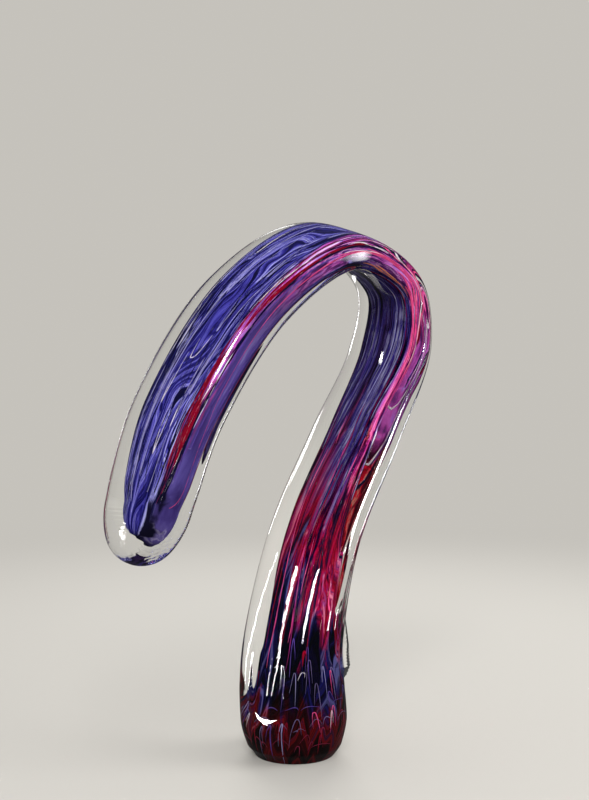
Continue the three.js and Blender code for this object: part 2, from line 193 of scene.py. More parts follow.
def surface(places, bearings, core=False, lift=0.0):
    """Points on the glass or on the core, and where they lie in the flat section and along the hook."""
    places, bearings, lift = np.broadcast_arrays(*(np.asarray(v, float) for v in (places, bearings, lift)))
    on_hook = np.minimum(places, 1)
    centre, along, across, outward = sections(on_hook)
    sizes, squares = through(size_rows, on_hook) / MM, through(square_rows, on_hook)
    width, thick, middle = sizes[..., 0], sizes[..., 1], 0.0
    if core:
        walls = through(wall_rows, on_hook) / MM
        width, thick = width - (walls[..., 0] + walls[..., 1]) / 2, thick - walls[..., 2]
        middle = (walls[..., 1] - walls[..., 0]) / 2
    rounding = np.sin(np.clip(places - 1, 0, 1) * math.pi / 2)
    ends = CORE_TIP if core else GLASS_TIP
    narrow, thin = ((1 - rounding**bulge) ** fullness for bulge, fullness in ends)
    shift = ((CORE_TIP_LENGTH if core else TIP_LENGTH) + lift) * rounding
    cosine, sine = np.cos(np.radians(bearings)), np.sin(np.radians(bearings))
    power = 2 / np.where(cosine > 0, squares[..., 0], squares[..., 1])
    flat_x = middle + (width + lift) * np.sign(cosine) * np.abs(cosine) ** power * narrow
    flat_y = (thick + lift) * np.sign(sine) * np.abs(sine) ** power * thin
    points = centre + across * flat_x[..., None] + outward * flat_y[..., None] + along * shift[..., None]
    return points, np.stack([flat_x, flat_y, arc_length(on_hook) + shift], axis=-1)


def smooth(values, low, high):
    share = np.clip((np.asarray(values, float) - low) / (high - low), 0, 1)
    return share * share * (3 - 2 * share)


def relief(places, bearings):
    """How far the glass lies inside its plain outline: flutes, a dip round the raised U, lines at the tip."""
    rise, full, fade, gone = FLUTE_SPAN
    fluted = smooth(places, rise, full) * (1 - smooth(places, fade, gone))
    fluted = fluted * (1 - smooth(bearings, *FLUTE_STOP))
    wave = 0.5 - 0.5 * np.cos(np.radians(FLUTES * (bearings - FLUTE_RIDGE)))
    flutes = FLUTE_DEPTH * fluted * wave**2
    length = arc_length(places)
    across = np.radians((bearings - TONGUE_BEARING + 180) % 360 - 180) * FOOT_RADIUS
    off = np.abs(np.hypot(across, np.minimum(length - TONGUE_TURN, 0)) - TONGUE_HALF)
    ridge = 1 - np.exp(-((off / TONGUE_RIDGE) ** 2))
    near = np.exp(-((off / TONGUE_REACH) ** 2)) * (1 - smooth(length, *TONGUE_END))
    shift = TIP_LENGTH * np.sin(np.clip(places - 1, 0, 1) * math.pi / 2)
    lines = 0.5 + 0.5 * np.sin(2 * math.pi * (length + shift) / TIP_LINE_PITCH)
    tip = TIP_LINE_DEPTH * lines * smooth(places, *TIP_LINE_SPAN)
    return np.maximum(flutes, TONGUE_DEPTH * ridge * near) + tip


# Meshes
def linked(name, data):
    thing = bpy.data.objects.new(name, data)
    bpy.context.scene.collection.objects.link(thing)
    return thing


def new_object(name, vertices, faces, material, vectors=None):
    """An object whose four-sided faces are smooth. Its triangles, which only close off ends, are flat."""
    mesh = bpy.data.meshes.new(name)
    mesh.from_pydata(vertices.tolist(), [], faces)
    mesh.validate()
    for key, values in (vectors or {}).items():
        attribute = mesh.attributes.new(key, "FLOAT_VECTOR", "POINT")
        attribute.data.foreach_set("vector", np.asarray(values, np.float32).ravel())
    mesh.polygons.foreach_set("use_smooth", [len(face.vertices) == 4 for face in mesh.polygons])
    mesh.materials.append(material)
    return linked(name, mesh)


def tube_faces(count, sides, start=0):
    """Four-sided faces between rings of points that follow one another."""
    faces = []
    for ring in range(count - 1):
        for side in range(sides):
            a, b = (start + ring * sides + corner % sides for corner in (side, side + 1))
            faces.append((a, a + sides, b + sides, b))
    return faces


def with_ends(rings):
    """The rings' values, and the means of the first ring and the last, for the middles of the two ends."""
    return [rings.reshape(-1, 3), rings[0].mean(0)[None], rings[-1].mean(0)[None]]


def joined(name, bodies, material):
    """One object from several closed lofts, each given as its rings and the values that its points carry."""
    points, carried, faces, start = [], {}, [], 0
    for rings, values in bodies:
        count, sides = rings.shape[:2]
        faces += tube_faces(count, sides, start)
        top = start + (count - 1) * sides
        low, high = top + sides, top + sides + 1
        for side in range(sides):
            after = (side + 1) % sides
            faces.append((low, start + side, start + after))
            faces.append((high, top + after, top + side))
        points += with_ends(rings)
        for key, value in values.items():
            carried.setdefault(key, []).extend(with_ends(value))
        start = high + 1
    vectors = {key: np.vstack(parts) for key, parts in carried.items()}
    return new_object(name, np.vstack(points), faces, material, vectors)


def hook_body(name, places, sides, material, core=False):
    bearings = np.arange(sides) * 360 / sides
    lift = 0.0 if core else -relief(places[:, None], bearings[None, :])
    points, flow = surface(places[:, None], bearings[None, :], core, lift)
    angle = np.radians(np.broadcast_to(bearings[None, :], points.shape[:2]))
    around = np.stack([np.cos(angle), np.sin(angle), np.broadcast_to(places[:, None], angle.shape)], axis=-1)
    return joined(name, [(points, {"flow": flow, "around": around})], material)


STRAND_SIDES = 8
TILT, NUDGE = 0.5, 0.0004  # degrees and places to either side, between which the core's slope is measured
INWARD = 0.002  # a step that is sure to lead into the core


def strand(places, bearings, half_width, depth, lift=0.0):
    """Rings of a flattened thread that lies on the core along a path. Widths may differ from ring to ring."""
    centre, _ = surface(places, bearings, core=True, lift=lift)
    left, right = (surface(places, bearings + turn, True, lift)[0] for turn in (-TILT, TILT))
    below, above = (surface(places + step, bearings, True, lift)[0] for step in (-NUDGE, NUDGE))
    normal = unit(np.cross(above - below, right - left))
    inside = surface(places, bearings, core=True, lift=lift - INWARD)[0]
    normal *= np.sign(np.sum(normal * (centre - inside), axis=-1, keepdims=True))
    side = unit(np.cross(unit(np.gradient(centre, axis=0)), normal))
    angle = np.arange(STRAND_SIDES) * 2 * math.pi / STRAND_SIDES
    wide = np.broadcast_to(half_width, len(centre))[:, None] * np.cos(angle)
    deep = np.broadcast_to(depth, len(centre))[:, None] * np.sin(angle)
    rings = centre[:, None] + side[:, None] * wide[..., None] + normal[:, None] * deep[..., None]
    flow = np.stack([wide, deep, np.broadcast_to(lengths_along(centre)[:, None], wide.shape)], axis=-1)
    return rings, {"flow": flow}


def keep(piece, nodes):
    """Says which body a piece rides on, which of the model's nodes it stands for."""
    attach(piece, "root")
    if nodes:
        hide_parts(*nodes)


# Materials
class Graph:
    """Short calls for building the nodes of a material or a world."""

    def __init__(self, owner, output="ShaderNodeOutputMaterial"):
        self.owner = owner
        owner.use_nodes = True
        self.nodes = owner.node_tree.nodes
        self.links = owner.node_tree.links
        self.nodes.clear()
        self.output = self.nodes.new(output)

    def finish(self, shader):
        self.links.new(shader.outputs[0], self.output.inputs["Surface"])
        return self.owner

    def feed(self, socket, value):
        """Links a socket to another, or gives it a number or a colour."""
        if isinstance(value, bpy.types.NodeSocket):
            self.links.new(value, socket)
        elif value is not None:
            socket.default_value = (*value, 1) if isinstance(value, tuple) else value

    def attribute(self, name):
        node = self.nodes.new("ShaderNodeAttribute")
        node.attribute_name = name
        return node.outputs["Vector"]

    def light_path(self):
        return self.nodes.new("ShaderNodeLightPath").outputs

    def split(self, vector):
        node = self.nodes.new("ShaderNodeSeparateXYZ")
        self.feed(node.inputs[0], vector)
        return node.outputs

    def join(self, x, y, z):
        node = self.nodes.new("ShaderNodeCombineXYZ")
        for socket, value in zip(node.inputs, (x, y, z)):
            self.feed(socket, value)
        return node.outputs[0]

    def math(self, operation, first, second=None, third=None):
        node = self.nodes.new("ShaderNodeMath")
        node.operation = operation
        for socket, value in zip(node.inputs, (first, second, third)):
            self.feed(socket, value)
        return node.outputs[0]

    def noise(self, vector, scale=1.0, detail=3.0, roughness=0.5):
        node = self.nodes.new("ShaderNodeTexNoise")
        values = {"Vector": vector, "Scale": scale, "Detail": detail, "Roughness": roughness}
        for key, value in values.items():
            self.feed(node.inputs[key], value)
        return node.outputs["Fac"]

    def fade(self, value, low, high, start=0.0, end=1.0):
        node = self.nodes.new("ShaderNodeMapRange")
        node.interpolation_type = "SMOOTHSTEP"
        keys = ("Value", "From Min", "From Max", "To Min", "To Max")
        for key, number in zip(keys, (value, low, high, start, end)):
            self.feed(node.inputs[key], number)
        return node.outputs[0]

    def ramp(self, value, stops):
        node = self.nodes.new("ShaderNodeValToRGB")
        ramp = node.color_ramp
        while len(ramp.elements) < len(stops):
            ramp.elements.new(1.0)
        for element, (level, *colour) in zip(ramp.elements, stops):
            element.position = level
            element.color = (*colour, 1)
        self.feed(node.inputs[0], value)
        return node.outputs[0]

    def mix(self, factor, first, second):
        node = self.nodes.new("ShaderNodeMix")
        node.data_type = "RGBA"
        for key, value in (("Factor", factor), ("A", first), ("B", second)):
            self.feed(node.inputs[key], value)
        return node.outputs["Result"]

    def principled(self, **values):
        node = self.nodes.new("ShaderNodeBsdfPrincipled")
        for key, value in values.items():
            name = key.replace("_", " ").title().replace("Ior", "IOR")
            self.feed(node.inputs[name], value)
        return node

    def emission(self, colour):
        node = self.nodes.new("ShaderNodeEmission")
        self.feed(node.inputs["Color"], colour)
        return node

    def mix_shader(self, factor, first, second):
        node = self.nodes.new("ShaderNodeMixShader")
        for socket, value in zip(node.inputs, (factor, first.outputs[0], second.outputs[0])):
            self.links.new(value, socket)
        return node

    def times(self, first, second, plus=None):
        """A product, and a value added to it."""
        return self.math("MULTIPLY" if plus is None else "MULTIPLY_ADD", first, second, plus)

    def matt(self, colour):
        """Finishes a material that only scatters light, because the clear glass round it has the gloss."""
        return self.finish(self.principled(base_color=colour, roughness=1.0, specular_ior_level=0.0))


CLEAR_TINT = (0.985, 0.99, 0.98)


def clear_glass(name):
    """Clear glass that lets the lamps' light through to what it holds."""
    graph = Graph(bpy.data.materials.new(name))
    glass = graph.principled(base_color=CLEAR_TINT, roughness=0.0, ior=1.5, transmission_weight=1.0)
    clear = graph.nodes.new("ShaderNodeBsdfTransparent")
    graph.feed(clear.inputs["Color"], CLEAR_TINT)
    return graph.finish(graph.mix_shader(graph.light_path()["Is Shadow Ray"], glass, clear))


# Palettes: rows of the noise level at which a colour is reached, and its red, green and blue in linear light.
VIOLET = (
    (0.28, 0.002, 0.002, 0.035), (0.40, 0.008, 0.006, 0.12), (0.49, 0.034, 0.028, 0.3),
    (0.58, 0.08, 0.07, 0.48), (0.68, 0.18, 0.165, 0.65), (0.80, 0.52, 0.52, 0.92),
)
ORCHID = (
    (0.28, 0.045, 0.006, 0.08), (0.40, 0.18, 0.035, 0.23), (0.48, 0.48, 0.07, 0.44),
    (0.55, 0.7, 0.13, 0.62), (0.61, 0.3, 0.19, 0.78), (0.69, 0.78, 0.3, 0.8),
    (0.82, 0.95, 0.65, 0.98),
)
ROSE = (
    (0.28, 0.01, 0.001, 0.022), (0.38, 0.07, 0.002, 0.07), (0.46, 0.4, 0.016, 0.23),
    (0.53, 0.9, 0.06, 0.34), (0.61, 0.95, 0.2, 0.46), (0.68, 0.32, 0.04, 0.4),
    (0.82, 1, 0.65, 0.8),
)
CRIMSON = (
    (0.28, 0.003, 0, 0.006), (0.40, 0.02, 0.001, 0.014), (0.47, 0.15, 0.003, 0.028),
    (0.55, 0.34, 0.004, 0.032), (0.63, 0.2, 0.03, 0.13), (0.78, 0.42, 0.24, 0.48),
)
EMBER = (
    (0.30, 0.03, 0, 0.006), (0.41, 0.14, 0, 0.008), (0.48, 0.42, 0.001, 0.012),
    (0.56, 0.7, 0.003, 0.02), (0.62, 0.2, 0.002, 0.03), (0.69, 0.6, 0.02, 0.06),
    (0.78, 0.72, 0.3, 0.3),
)
# LILAC is partly painted light: its paler stops make the arm's near strip lighter, as where light shines
# through the thin core.
LILAC = (
    (0.28, 0.028, 0.015, 0.11), (0.42, 0.07, 0.048, 0.24), (0.54, 0.125, 0.092, 0.37),
    (0.72, 0.26, 0.22, 0.5),
)
DUSK = (
    (0.30, 0.002, 0.001, 0.008), (0.41, 0.009, 0.002, 0.034), (0.49, 0.036, 0.014, 0.098),
    (0.55, 0.013, 0.012, 0.165), (0.62, 0.064, 0.042, 0.175), (0.70, 0.15, 0.135, 0.27),
    (0.82, 0.3, 0.29, 0.52),
)
RUBY = (
    (0.28, 0.002, 0, 0.006), (0.38, 0.02, 0.001, 0.02), (0.46, 0.085, 0.001, 0.012),
    (0.53, 0.21, 0.001, 0.018), (0.60, 0.38, 0.003, 0.03), (0.66, 0.05, 0.004, 0.08),
    (0.74, 0.42, 0.014, 0.08), (0.85, 0.66, 0.18, 0.3),
)
NIGHT = (
    (0.36, 0, 0, 0.002), (0.48, 0.002, 0.001, 0.016), (0.58, 0.006, 0.006, 0.085),
    (0.65, 0.004, 0.002, 0.016), (0.76, 0.07, 0.07, 0.22),
)
BLOOD = (
    (0.34, 0.003, 0, 0), (0.46, 0.014, 0, 0.001), (0.56, 0.045, 0.001, 0.002),
    (0.64, 0.13, 0.002, 0.003), (0.72, 0.016, 0.002, 0.022), (0.82, 0.2, 0.03, 0.035),
)

# Places between which one of the core's colours gives way to the next.
BLOOD_TO_NIGHT = (0.19, 0.235)
NIGHT_TO_RUBY = (0.30, 0.35)
LOOPS_TO_LANES = (0.31, 0.36)
LOWER_TO_UPPER = (0.39, 0.46)
EMBER_TO_ORCHID = (0.44, 0.48)
ORCHID_TO_ROSE = (0.53, 0.59)
ROSE_TO_ORCHID = (0.59, 0.66)
ROSE_TO_VIOLET = (0.63, 0.70)
BEND_TO_ARM = (0.70, 0.79)
PLUM_TO_LILAC = (0.73, 0.84)
VEIL_BEGINS = (0.76, 0.86)
ROSE_TO_CRIMSON = (0.81, 0.87)
CRIMSON_TO_DARK = (0.89, 0.96)
CORE_END_DARKENS = (1.6, 1.95)

# Bands round the core: a bearing and half an angle. The last two lists also say what is added to the place
# there, before a change is read from it.
STEM_OUTER = (75, 48)
STEM_INNER = (272, 78)
BEND_NEAR = (160, 38)
ARM_INNER = (300, 84)
ARM_NEAR = (190, 48)
ARM_RIDGE = (147, 18)
NIGHT_RISES = ((295, 35, -0.06),)
CHANGE_SLANTS = (310, 50, -0.03), (210, 40, 0.02)
BAND_EDGE = 0.08  # how soft a band's edge is, as a step of the cosine

# The core's two patterns: lanes drawn out along the hook, and lanes combed into loops.
LANE_WIDTH = 0.0022
LANE_LENGTH = 0.110
LANE_SLANT = 0.06  # metres sideways for each metre along
LANE_WANDER = 0.006
COMB_LOOPS = 12  # round the core
COMB_DRIFT = 9.0  # loops sideways for each metre along
COMB_BEND = 2.4  # loops sideways, from the slow noise's lowest to its highest
COMB_POINT = 0.04  # how round a loop's point is, as a share of its width
COMB_SPAN = (0.28, 0.60)  # places between which the loops grow longer
COMB_DEPTHS = (0.020, 0.080)  # how far they are pulled before and after that
COMB_WANDER = 0.02
COMB_PITCH = 0.013
COMB_STAGGER = 7.7  # how far apart in the noise one loop is from the next
COMB_CHANGE = 1.5  # how fast the noise changes along the hook besides


class CoreGraph(Graph):
    """The core's look: noise in lanes that are drawn out or combed into loops, and the colours it picks."""

    def __init__(self, owner):
        super().__init__(owner)
        self.x, self.y, self.along = self.split(self.attribute("flow"))
        self.cosine, self.sine, self.place = self.split(self.attribute("around"))

        self.lanes = self.drawn_lanes()
        fine = self.noise(self.lanes, detail=8, roughness=0.66)
        self.uneven = self.math("SUBTRACT", self.noise(self.lanes, scale=0.30), 0.5)
        self.tone = self.times(self.uneven, 0.9, self.sharpened(fine, gain=1.5))
        self.dark_line = self.hairline(fine, level=0.46, half_width=0.014)
        self.pale_line = self.hairline(fine, level=0.55, half_width=0.008)

        grain, off = self.combed_lanes()
        self.loop_middle = self.fade(off, 0.04, 0.30, 1.0, 0.0)
        self.comb_fine = self.noise(grain, scale=0.9, detail=6, roughness=0.60)
        self.comb_broad = self.noise(grain, scale=0.30, detail=2)
        self.comb_uneven = self.math("SUBTRACT", self.comb_broad, 0.5)
        self.comb_tone = self.times(self.comb_uneven, 0.8, self.sharpened(self.comb_fine, gain=1.9))

    def slow_noise(self, pace, offset):
        """Smooth noise round and along the hook, from -0.5 to 0.5."""
        here = self.join(self.math("ADD", self.cosine, offset), self.sine, self.times(self.along, pace))
        return self.math("SUBTRACT", self.noise(here, scale=1.4, detail=2), 0.5)

    def drawn_lanes(self):
        """Coordinates in which noise is drawn out along the hook."""
        wander = self.times(self.slow_noise(pace=14.0, offset=3.0), LANE_WANDER)
        x, y = self.times(self.along, LANE_SLANT, self.x), self.y
        x, y = (self.math("DIVIDE", self.math("ADD", value, wander), LANE_WIDTH) for value in (x, y))
        return self.join(x, y, self.math("DIVIDE", self.along, LANE_LENGTH))

    def combed_lanes(self):
        """Coordinates in which noise is pulled into loops towards the tip, and how far off their middles."""
        lane = self.times(self.math("ARCTAN2", self.sine, self.cosine), COMB_LOOPS / (2 * math.pi))
        lane = self.times(self.along, COMB_DRIFT, lane)
        lane = self.times(self.slow_noise(pace=7.0, offset=0.0), COMB_BEND, lane)
        cell = self.math("FLOORED_MODULO", self.math("FLOOR", lane), COMB_LOOPS)
        off = self.math("SUBTRACT", self.math("FRACT", lane), 0.5)
        rounded = self.math("SQRT", self.times(off, off, COMB_POINT**2))
        bow = self.times(rounded, -2.0, 1.0)
        pulled = self.times(bow, self.fade(self.place, *COMB_SPAN, *COMB_DEPTHS))
        pulled = self.math("SUBTRACT", self.along, pulled)
        pulled = self.times(self.slow_noise(pace=12.0, offset=7.0), COMB_WANDER, pulled)
        across, along = self.times(cell, COMB_STAGGER), self.times(self.along, COMB_CHANGE)
        return self.join(self.math("DIVIDE", pulled, COMB_PITCH), across, along), self.math("ABSOLUTE", off)

    def sharpened(self, tone, gain):
        """A tone from 0 to 1 with more contrast about its middle."""
        return self.times(self.math("SUBTRACT", tone, 0.5), gain, 0.5)

    def hairline(self, value, level, half_width):
        """1 where a value crosses a level, and 0 a little away from it."""
        off = self.math("ABSOLUTE", self.math("SUBTRACT", value, level))
        return self.fade(off, half_width * 0.4, half_width, 1.0, 0.0)

    def lined(self, colour, *lines):
        """A colour with lines over it, each given as its mask, its strength and its colour."""
        for mask, strength, line_colour in lines:
            colour = self.mix(self.times(mask, strength), colour, line_colour)
        return colour

    def near(self, bearing, half_angle, ragged=0.9):
        """1 near a bearing and 0 away from it, with an edge that the streaks break up."""
        angle = math.radians(bearing)
        toward = self.times(self.sine, math.sin(angle), self.times(self.cosine, math.cos(angle)))
        toward = self.times(self.uneven, ragged, toward)
        edge = math.cos(math.radians(half_angle))
        return self.fade(toward, edge - BAND_EDGE, edge + BAND_EDGE)

    def shifted(self, height, shifts):
        """A height with what is added to it in bands round the core."""
        for bearing, half_angle, amount in shifts:
            height = self.times(self.near(bearing, half_angle, ragged=0.0), amount, height)
        return height

    def violet(self):
        wisp = self.hairline(self.comb_broad, level=0.55, half_width=0.022)
        return self.lined(
            self.ramp(self.comb_tone, VIOLET),
            (self.hairline(self.comb_broad, level=0.44, half_width=0.016), 0.85, (0.002, 0.002, 0.025)),
            (self.hairline(self.comb_fine, level=0.43, half_width=0.014), 0.8, (0.003, 0.003, 0.040)),
            (self.hairline(self.comb_fine, level=0.60, half_width=0.010), 0.7, (0.34, 0.33, 0.86)),
            (self.times(wisp, self.loop_middle), 0.9, (0.50, 0.50, 0.92)),
            (self.dark_line, 0.9, (0.004, 0.003, 0.030)),
        )

    def rose(self, orchid):
        rose = self.mix(self.fade(self.place, *ROSE_TO_ORCHID), self.ramp(self.tone, ROSE), orchid)
        pale, dark = (1.0, 0.62, 0.88), (0.030, 0.001, 0.020)
        return self.lined(rose, (self.pale_line, 0.8, pale), (self.dark_line, 0.8, dark))

    def crimson(self):
        crimson = self.lined(self.ramp(self.tone, CRIMSON), (self.dark_line, 0.9, (0.010, 0.000, 0.010)))
        return self.mix(self.fade(self.place, *CRIMSON_TO_DARK), crimson, (0.004, 0.003, 0.020))

    # The arm's near strip: plum where it starts, then lilac that grows paler towards the tip. The paleness is
    # painted light shining through the thin core, and the pale veil lines are the glass's own.
    def painted_shine_through_lilac(self):
        soft = self.noise(self.lanes, scale=0.22, detail=4)
        veil = self.hairline(soft, level=0.55, half_width=0.030)
        veil = self.times(veil, self.fade(self.place, *VEIL_BEGINS))
        painted_shine_through_lilac = self.lined(self.ramp(soft, LILAC), (veil, 0.6, (0.40, 0.35, 0.62)))
        return self.mix(self.fade(self.place, *PLUM_TO_LILAC, 0.85, 0.0), painted_shine_through_lilac, (0.025, 0.006, 0.050))

    def ember(self):
        pale, dark = (0.80, 0.62, 0.50), (0.012, 0.000, 0.008)
        ember = self.ramp(self.tone, EMBER)
        return self.lined(ember, (self.pale_line, 0.8, pale), (self.dark_line, 0.8, dark))

    def upper(self, ember):
        """The upper stem and the bend, and then the arm."""
        reached = self.times(self.uneven, 0.12, self.place)
        violet, orchid = self.violet(), self.ramp(self.tone, ORCHID)
        rose = self.rose(orchid)
        dusk = self.lined(self.ramp(self.tone, DUSK), (self.pale_line, 0.5, (0.20, 0.17, 0.42)))

        outer = self.mix(self.fade(reached, *EMBER_TO_ORCHID), ember, orchid)
        outer = self.mix(self.fade(reached, *ORCHID_TO_ROSE), outer, rose)
        outer = self.mix(self.fade(reached, *ROSE_TO_VIOLET), outer, violet)
        bend = self.mix(self.near(*STEM_INNER), outer, dusk)
        bend = self.mix(self.near(*BEND_NEAR), bend, rose)

        ridge = self.mix(self.fade(reached, *ROSE_TO_CRIMSON), rose, self.crimson())
        arm = self.mix(self.near(*ARM_INNER), violet, dusk)
        # The near strip takes the lilac with its painted light shining through.
        arm = self.mix(self.near(*ARM_NEAR, ragged=0.27), arm, self.painted_shine_through_lilac())
        arm = self.mix(self.near(*ARM_RIDGE), arm, ridge)
        return self.mix(self.fade(reached, *BEND_TO_ARM), bend, arm)

    def lower(self, ember, height):
        """The foot's dark red, the near black above it, and the ruby of the lower stem."""
        looped = self.fade(self.times(self.comb_uneven, 0.10, self.place), *LOOPS_TO_LANES, 1.0, 0.25)
        looped = self.fade(self.math("ADD", self.comb_uneven, looped), 0.46, 0.56)
        ruby = self.mix(looped, self.ramp(self.tone, RUBY), self.ramp(self.comb_tone, RUBY))
        ruby = self.lined(ruby, (self.dark_line, 0.8, (0.006, 0.000, 0.010)))
        ruby = self.mix(self.near(*STEM_OUTER), ruby, ember)
        risen = self.shifted(height, NIGHT_RISES)
        lower = self.mix(self.fade(risen, *NIGHT_TO_RUBY), self.ramp(self.comb_tone, NIGHT), ruby)
        return self.mix(self.fade(height, *BLOOD_TO_NIGHT), self.ramp(self.comb_tone, BLOOD), lower)

    def colour(self):
        ember = self.ember()
        height = self.times(self.uneven, 0.30, self.place)
        slanted = self.shifted(height, CHANGE_SLANTS)
        colour = self.mix(self.fade(slanted, *LOWER_TO_UPPER), self.lower(ember, height), self.upper(ember))
        return self.mix(self.fade(self.place, *CORE_END_DARKENS), colour, (0.003, 0.002, 0.020))


def core_material(name):
    graph = CoreGraph(bpy.data.materials.new(name))
    return graph.matt(graph.colour())


THREAD_GRAIN = 1200.0, 1200.0, 60.0  # how fine a thread's streaks are across it, through it and along it
THREAD_DARK = 0.15  # how much of a thread's colour is left in its dark streaks
THREAD_PALE = 0.35  # how far its pale streaks go to white


def thread_material(name, colour):
    graph = Graph(bpy.data.materials.new(name))
    parts = graph.split(graph.attribute("flow"))
    scaled = [graph.times(part, grain) for part, grain in zip(parts, THREAD_GRAIN)]
    tone = graph.noise(graph.join(*scaled), detail=4, roughness=0.6)
    dark = tuple(THREAD_DARK * value for value in colour)
    pale = tuple(value + (1 - value) * THREAD_PALE for value in colour)
    return graph.matt(graph.ramp(tone, ((0.32, *dark), (0.46, *colour), (0.58, *colour), (0.74, *pale))))


# The sculpture
# Each stretch of the casing: its first place, its end, and how many rings it has. The relief needs the most.
CASING_STRETCHES = (0, 0.14, 40), (0.14, 0.32, 130), (0.32, 1, 230)
TIP_PLACES = 1 + np.linspace(0, 0.995, 110)[1:]
CORE_START = 0.004
CORE_TIP_PLACES = TIP_PLACES[::3]  # the core's tip needs fewer rings


def casing():
    stretches = [np.linspace(start, end, count, endpoint=False) for start, end, count in CASING_STRETCHES]
    places = np.concatenate([*stretches, [1], TIP_PLACES])
    keep(hook_body("clear_casing_glass", places, GLASS_SIDES, casing_look), ["clear_casing"])


casing_look = clear_glass("clear glass")
casing()

core_look = core_material("streaked core")
CORES = {
    "foot_gather": ("foot_glass", np.linspace(CORE_START, foot_top, 60)),
    "ruby_core": ("ruby_glass", np.linspace(foot_top, colour_change, 90)),
    "violet_core": ("violet_glass", np.concatenate([np.linspace(colour_change, 1, 200), CORE_TIP_PLACES])),
}
for node, (slot, places) in CORES.items():
    keep(hook_body(node + "_body", places, CORE_SIDES, core_look, core=True), [node])

COLOURS = {
    "navy": (0.004, 0.003, 0.028),
    "indigo": (0.03, 0.026, 0.23),
    "lavender": (0.38, 0.36, 0.7),
    "violet": (0.09, 0.05, 0.3),
    "magenta": (0.33, 0.015, 0.16),
    "pink": (0.85, 0.08, 0.27),
    "crimson": (0.23, 0.001, 0.016),
    "rose": (0.3, 0.02, 0.07),
    "mauve": (0.17, 0.13, 0.3),
    "white": (0.88, 0.82, 0.9),
    "orange": (0.75, 0.22, 0.09),
}
looks = {key: thread_material(key + " glass", colour) for key, colour in COLOURS.items()}


def threads(name, bodies, colour, nodes=()):
    """Threads of one colour, as one piece."""
    keep(joined(name, bodies, looks[colour]), list(nodes))


CANES = {
    "far_edge": (0, "navy", "indigo"),
    "outer_far": (36, "crimson", "indigo"),
    "outer_mid_far": (72, "crimson", "lavender"),
    "outer_mid_near": (108, "violet", "indigo"),
    "outer_near": (144, "magenta", "magenta"),
    "near_edge": (180, "crimson", "pink"),
    "inner_near": (216, "navy", "crimson"),
    "inner_mid_near": (252, "magenta", "lavender"),
    "inner_mid_far": (288, "pink", "violet"),
    "inner_far": (324, "navy", "navy"),
}
CANE_HALF_WIDTH = 0.0006
LOWER_CANE_HALF_WIDTH = 0.0004
CANE_CLEARANCE = 0.002  # in places, from the colour change
CANE_TAPERS = (0.30, 0.10)  # shares of a cane's length in which it swells from its start and thins to its end
PALING = (0.70, 0.82)  # places between which the pink and magenta canes thin out to hairs
CANE_WEAVE = 4  # degrees to either side of its bearing
THREAD_DEPTH = 0.00016  # half a thread's size through it
FINEST = 0.00005  # half width where a thread runs out


def cane(name, bearing, start, end, colour, chance):
    """A cane that keeps its bearing, and swells and thins on its way."""
    share = np.linspace(0, 1, 160)
    wave = chance.uniform(0, 2 * math.pi, 3)
    swell = 0.5 + 0.5 * np.abs(np.sin(5 * share + wave[0]) * np.sin(9 * share + wave[1]))
    rise, fall = CANE_TAPERS
    taper = np.clip(np.minimum(share / rise, (1 - share) / fall), 0, 1) ** 0.7
    bearings = bearing + CANE_WEAVE * np.sin(7 * share + wave[2]) * taper
    places = start + (end - start) * share
    if colour in ("pink", "magenta"):
        taper = taper * (1 - smooth(places, *PALING))
    widest = CANE_HALF_WIDTH if name.startswith("upper") else LOWER_CANE_HALF_WIDTH
    body = strand(places, bearings, widest * swell * taper + FINEST, THREAD_DEPTH)
    threads(name + "_cane", [body], colour, [name])


chance = np.random.default_rng(7)
for place, (bearing, lower, upper) in CANES.items():
    cane("lower_cane_" + place, bearing, foot_top, colour_change - CANE_CLEARANCE, lower, chance)
    cane("upper_cane_" + place, bearing, colour_change + CANE_CLEARANCE, 1.0, upper, chance)

# Threads round the foot, one at each level, drawn up into loops of uneven height and width.
FEATHERS = {"lower": (0.012, "rose"), "middle": (0.026, "mauve"), "upper": (0.041, "violet")}
FEATHER_LOOPS = 15
FEATHER_WIDTHS = (0.25, 1.9)  # of the loops, against one another
FEATHER_RISES = (0.002, 0.014)
FEATHER_OUTLINE = (0.6, 1.5), (0.5, 1.1)  # limits of the two powers that shape a loop
FEATHER_LEAN = (-7, 7)  # degrees, at a loop's top
FEATHER_SWELL = (0.00003, 0.00032)  # what a loop's top adds to the half width
FEATHER_SINK = 0.0006  # how far the thread lies under the core's surface between its loops
FEATHER_SURFACES = (0.25, 0.6)  # shares of a loop's rise between which it comes up to the surface


def feather(level, height, colour, chance):
    edges = np.cumsum(np.concatenate([[0], chance.uniform(*FEATHER_WIDTHS, FEATHER_LOOPS)]))
    edges *= 360 / edges[-1]
    rises = chance.uniform(*FEATHER_RISES, FEATHER_LOOPS)
    share = np.linspace(0, 1, 41)[:-1]
    bearings, lengths, widths, lifts = [], [], [], []
    skew, round_off = FEATHER_OUTLINE
    for index in range(FEATHER_LOOPS):
        bow = np.sin(math.pi * share ** chance.uniform(*skew)) ** chance.uniform(*round_off)
        lean = chance.uniform(*FEATHER_LEAN) * bow
        bearings.append(edges[index] + (edges[index + 1] - edges[index]) * share + lean)
        lengths.append(height + rises[index] * bow)
        widths.append(FINEST + chance.uniform(*FEATHER_SWELL) * bow**3)
        lifts.append(FEATHER_SINK * (smooth(bow, *FEATHER_SURFACES) - 1))
    bearings = np.concatenate(bearings + [[360.0]])
    places = place_at_length(np.concatenate(lengths + [[height]]))
    lifts = np.concatenate(lifts + [[-FEATHER_SINK]])
    body = strand(places, bearings, np.concatenate(widths + [[FINEST]]), THREAD_DEPTH, lifts)
    threads("feather_" + level + "_thread", [body], colour, ["feather_thread_" + level])


for level, (height, colour) in FEATHERS.items():
    feather(level, height, colour, chance)

